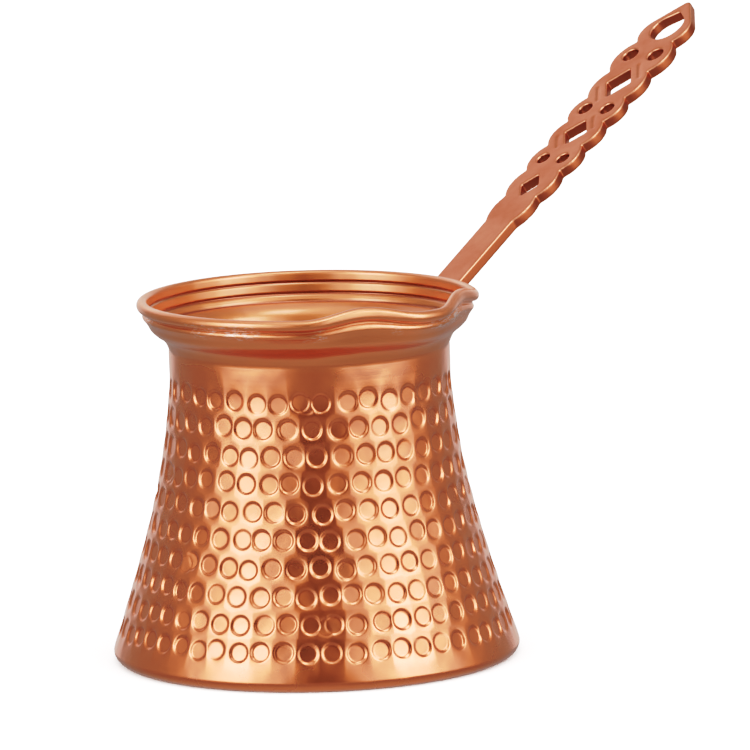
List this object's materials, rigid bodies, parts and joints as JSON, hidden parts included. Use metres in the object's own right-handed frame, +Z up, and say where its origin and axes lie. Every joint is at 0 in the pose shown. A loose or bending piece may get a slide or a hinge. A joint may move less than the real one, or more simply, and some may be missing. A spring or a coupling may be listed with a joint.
{
  "type": "turkish coffee pot",
  "caption": "Long-handled copper coffee pot with a wide dimpled base, a narrow neck, a rolled rim pinched into a pouring lip, and an openwork cast handle riveted on.",
  "frame": {"origin": "centre of the flat underside of the pot", "axes": "+Z up along the pot's axis, +X towards the tip of the handle, -Y is the side the lip pours to"},
  "size_m": [0.1901, 0.1, 0.1478],
  "materials": {
    "pot_copper": "satin spun copper, dimpled",
    "handle_casting": "matte cast copper alloy",
    "rivet_copper": "hammered copper"
  },
  "bodies": {
    "root": {"pot_body": "pot_copper", "handle": "handle_casting", "rivets": "rivet_copper"}
  },
  "joints": []
}
